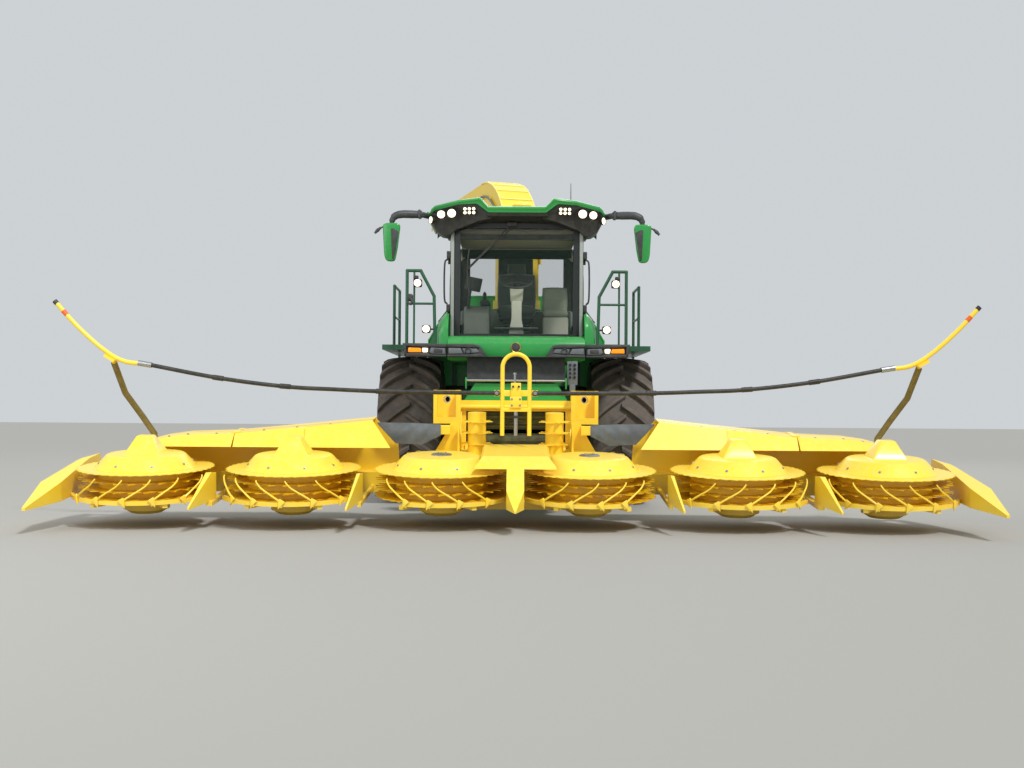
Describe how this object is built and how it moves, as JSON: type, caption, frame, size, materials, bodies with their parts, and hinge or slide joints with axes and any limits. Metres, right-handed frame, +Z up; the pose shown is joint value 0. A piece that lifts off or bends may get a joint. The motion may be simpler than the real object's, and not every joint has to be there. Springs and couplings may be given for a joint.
{
  "type": "forage harvester",
  "caption": "Self-propelled forage harvester with cab, steered rear axle, turning spout, lifting feeder and a wide folding maize header with toothed rotors.",
  "frame": {"origin": "ground under the middle of the machine's box, on the centre line, at the front axle", "axes": "+X to the machine's left, +Y to its rear, +Z up; the header is at -Y"},
  "size_m": [9.654, 9.3, 4.4303],
  "materials": {
    "frame_paint": "satin enamel",
    "engine_iron": "painted casting",
    "axle_paint": "satin enamel",
    "tank_plastic": "moulded, matte",
    "green_paint": "gloss enamel",
    "dark_green_paint": "gloss enamel",
    "yellow_paint": "gloss enamel",
    "black_plastic": "moulded, satin",
    "cab_frame": "satin enamel",
    "cab_glass": "clear, slightly green",
    "seat_fabric": "woven",
    "console_plastic": "moulded, matte",
    "mirror_plastic": "moulded",
    "tyre": "dusty rubber",
    "roll_steel": "worn by crop",
    "canvas": "coated cloth",
    "pipe_plastic": "extruded"
  },
  "bodies": {
    "chassis": {"chassis": "frame_paint", "engine": "engine_iron", "front_axle": "axle_paint", "rear_axle": "axle_paint", "tanks": "tank_plastic", "body_panels": "green_paint", "cowl": "green_paint", "lamp_bar": "black_plastic", "cab_shell": "cab_frame", "cab_roof": "green_paint", "cab_glass": "cab_glass", "seats": "seat_fabric", "steering_console": "console_plastic", "mirrors": "mirror_plastic", "platforms": "dark_green_paint"},
    "knuckle_left": {"knuckle_left": "axle_paint"},
    "knuckle_right": {"knuckle_right": "axle_paint"},
    "wheel_front_left": {"tyre_front_left": "tyre", "rim_front_left": "yellow_paint"},
    "wheel_front_right": {"tyre_front_right": "tyre", "rim_front_right": "yellow_paint"},
    "wheel_rear_left": {"tyre_rear_left": "tyre", "rim_rear_left": "yellow_paint"},
    "wheel_rear_right": {"tyre_rear_right": "tyre", "rim_rear_right": "yellow_paint"},
    "feeder": {"feeder_house": "green_paint", "header_centre": "yellow_paint", "hoop": "yellow_paint"},
    "roll_upper": {"feed_roll_upper": "roll_steel"},
    "roll_lower": {"feed_roll_lower": "roll_steel"},
    "drum_left": {"feed_drum_left": "yellow_paint"},
    "drum_right": {"feed_drum_right": "yellow_paint"},
    "wing_left": {"wing_left": "yellow_paint", "canvas_left": "canvas"},
    "wing_right": {"wing_right": "yellow_paint", "canvas_right": "canvas"},
    "pipe_left": {"crop_pipe_left": "pipe_plastic"},
    "pipe_right": {"crop_pipe_right": "pipe_plastic"},
    "turret": {"spout_turret": "yellow_paint"},
    "boom": {"spout_boom": "yellow_paint"},
    "flap": {"spout_flap": "yellow_paint"},
    "door_left": {"cab_door_left": "cab_frame"},
    "door_right": {"cab_door_right": "cab_frame"},
    "service_left": {"service_door_left": "green_paint"},
    "service_right": {"service_door_right": "green_paint"},
    "rear_door": {"rear_door": "black_plastic"},
    "rotor_left_1": {"rotor_left_1": "yellow_paint"},
    "rotor_left_2": {"rotor_left_2": "yellow_paint"},
    "rotor_left_3": {"rotor_left_3": "yellow_paint"},
    "rotor_right_1": {"rotor_right_1": "yellow_paint"},
    "rotor_right_2": {"rotor_right_2": "yellow_paint"},
    "rotor_right_3": {"rotor_right_3": "yellow_paint"}
  },
  "joints": [
    {"name": "front_wheel_left", "type": "hinge", "parent": "chassis", "child": "wheel_front_left", "pos_m": [1.32, 0, 0.9265], "axis": [1, 0, 0], "continuous": true},
    {"name": "steer_left", "type": "hinge", "parent": "chassis", "child": "knuckle_left", "pos_m": [0.85, 3.05, 0.735], "axis": [0, 0, 1], "range_deg": [-35, 35]},
    {"name": "rear_wheel_left", "type": "hinge", "parent": "knuckle_left", "child": "wheel_rear_left", "pos_m": [1.25, 3.05, 0.735], "axis": [1, 0, 0], "continuous": true},
    {"name": "front_wheel_right", "type": "hinge", "parent": "chassis", "child": "wheel_front_right", "pos_m": [-1.32, 0, 0.9265], "axis": [1, 0, 0], "continuous": true},
    {"name": "steer_right", "type": "hinge", "parent": "chassis", "child": "knuckle_right", "pos_m": [-0.85, 3.05, 0.735], "axis": [0, 0, 1], "range_deg": [-35, 35]},
    {"name": "rear_wheel_right", "type": "hinge", "parent": "knuckle_right", "child": "wheel_rear_right", "pos_m": [-1.25, 3.05, 0.735], "axis": [1, 0, 0], "continuous": true},
    {"name": "feeder_lift", "type": "hinge", "parent": "chassis", "child": "feeder", "pos_m": [0, -0.85, 1.3], "axis": [-1, 0, 0], "range_deg": [0, 14]},
    {"name": "roll_upper_turn", "type": "hinge", "parent": "feeder", "child": "roll_upper", "pos_m": [0, -1.93, 1.08], "axis": [1, 0, 0], "continuous": true},
    {"name": "roll_lower_turn", "type": "hinge", "parent": "feeder", "child": "roll_lower", "pos_m": [0, -1.93, 0.8], "axis": [1, 0, 0], "continuous": true},
    {"name": "drum_left_turn", "type": "hinge", "parent": "feeder", "child": "drum_left", "pos_m": [0.417, -2.67919, 0.69858], "axis": [0, -0.0872, 0.9962], "continuous": true},
    {"name": "wing_left_fold", "type": "hinge", "parent": "feeder", "child": "wing_left", "pos_m": [1.05, -2.67658, 0.6687], "axis": [0, -0.9962, -0.0872], "range_deg": [0, 70], "deforming": ["canvas_left"]},
    {"name": "pipe_left_swing", "type": "hinge", "parent": "feeder", "child": "pipe_left", "pos_m": [0.2, -3.15, 1.362], "axis": [0, -1, 0], "range_deg": [0, 73.5]},
    {"name": "rotor_left_1_turn", "type": "hinge", "parent": "feeder", "child": "rotor_left_1", "pos_m": [0.75, -3.45, 0.33], "axis": [0, -0.0872, 0.9962], "continuous": true},
    {"name": "rotor_left_2_turn", "type": "hinge", "parent": "wing_left", "child": "rotor_left_2", "pos_m": [2.25, -3.45, 0.33], "axis": [0, -0.0872, 0.9962], "continuous": true},
    {"name": "rotor_left_3_turn", "type": "hinge", "parent": "wing_left", "child": "rotor_left_3", "pos_m": [3.75, -3.45, 0.33], "axis": [0, -0.0872, 0.9962], "continuous": true},
    {"name": "drum_right_turn", "type": "hinge", "parent": "feeder", "child": "drum_right", "pos_m": [-0.417, -2.67919, 0.69858], "axis": [0, -0.0872, 0.9962], "continuous": true},
    {"name": "wing_right_fold", "type": "hinge", "parent": "feeder", "child": "wing_right", "pos_m": [-1.05, -2.67658, 0.6687], "axis": [0, 0.9962, 0.0872], "range_deg": [0, 70], "deforming": ["canvas_right"]},
    {"name": "pipe_right_swing", "type": "hinge", "parent": "feeder", "child": "pipe_right", "pos_m": [-0.2, -3.15, 1.362], "axis": [0, 1, 0], "range_deg": [0, 73.5]},
    {"name": "rotor_right_1_turn", "type": "hinge", "parent": "feeder", "child": "rotor_right_1", "pos_m": [-0.75, -3.45, 0.33], "axis": [0, -0.0872, 0.9962], "continuous": true},
    {"name": "rotor_right_2_turn", "type": "hinge", "parent": "wing_right", "child": "rotor_right_2", "pos_m": [-2.25, -3.45, 0.33], "axis": [0, -0.0872, 0.9962], "continuous": true},
    {"name": "rotor_right_3_turn", "type": "hinge", "parent": "wing_right", "child": "rotor_right_3", "pos_m": [-3.75, -3.45, 0.33], "axis": [0, -0.0872, 0.9962], "continuous": true},
    {"name": "spout_turn", "type": "hinge", "parent": "chassis", "child": "turret", "pos_m": [0, 1.25, 2.56], "axis": [0, 0, 1], "range_deg": [-125, 85]},
    {"name": "spout_lift", "type": "hinge", "parent": "turret", "child": "boom", "pos_m": [0.08038, 1.02917, 3.32], "axis": [0.9397, 0.342, 0], "range_deg": [0, 28]},
    {"name": "spout_flap_tilt", "type": "hinge", "parent": "boom", "child": "flap", "pos_m": [-0.99232, 3.97639, 4.26068], "axis": [0.9397, 0.342, 0], "range_deg": [-25, 35]},
    {"name": "cab_door_left_hinge", "type": "hinge", "parent": "chassis", "child": "door_left", "pos_m": [0.818, -1.007, 2.6], "axis": [0, 0, -1], "range_deg": [0, 70]},
    {"name": "service_door_left_hinge", "type": "hinge", "parent": "chassis", "child": "service_left", "pos_m": [1.268, 1.803, 1.9], "axis": [0, 0, -1], "range_deg": [0, 80]},
    {"name": "cab_door_right_hinge", "type": "hinge", "parent": "chassis", "child": "door_right", "pos_m": [-0.818, -1.007, 2.6], "axis": [0, 0, 1], "range_deg": [0, 70]},
    {"name": "service_door_right_hinge", "type": "hinge", "parent": "chassis", "child": "service_right", "pos_m": [-1.268, 1.803, 1.9], "axis": [0, 0, 1], "range_deg": [0, 80]},
    {"name": "rear_door_hinge", "type": "hinge", "parent": "chassis", "child": "rear_door", "pos_m": [0.817, 4.518, 2], "axis": [0, 0, -1], "range_deg": [0, 80]}
  ],
  "couplings": [
    {"joint": "steer_right", "follows": "steer_left", "ratio": 1},
    {"joint": "roll_lower_turn", "follows": "roll_upper_turn", "ratio": -1},
    {"joint": "drum_right_turn", "follows": "drum_left_turn", "ratio": -1},
    {"joint": "pipe_left_swing", "follows": "wing_left_fold", "ratio": 1.05},
    {"joint": "pipe_right_swing", "follows": "wing_right_fold", "ratio": 1.05},
    {"joint": "rotor_right_1_turn", "follows": "rotor_left_1_turn", "ratio": -1},
    {"joint": "rotor_right_2_turn", "follows": "rotor_left_2_turn", "ratio": -1},
    {"joint": "rotor_right_3_turn", "follows": "rotor_left_3_turn", "ratio": -1}
  ]
}
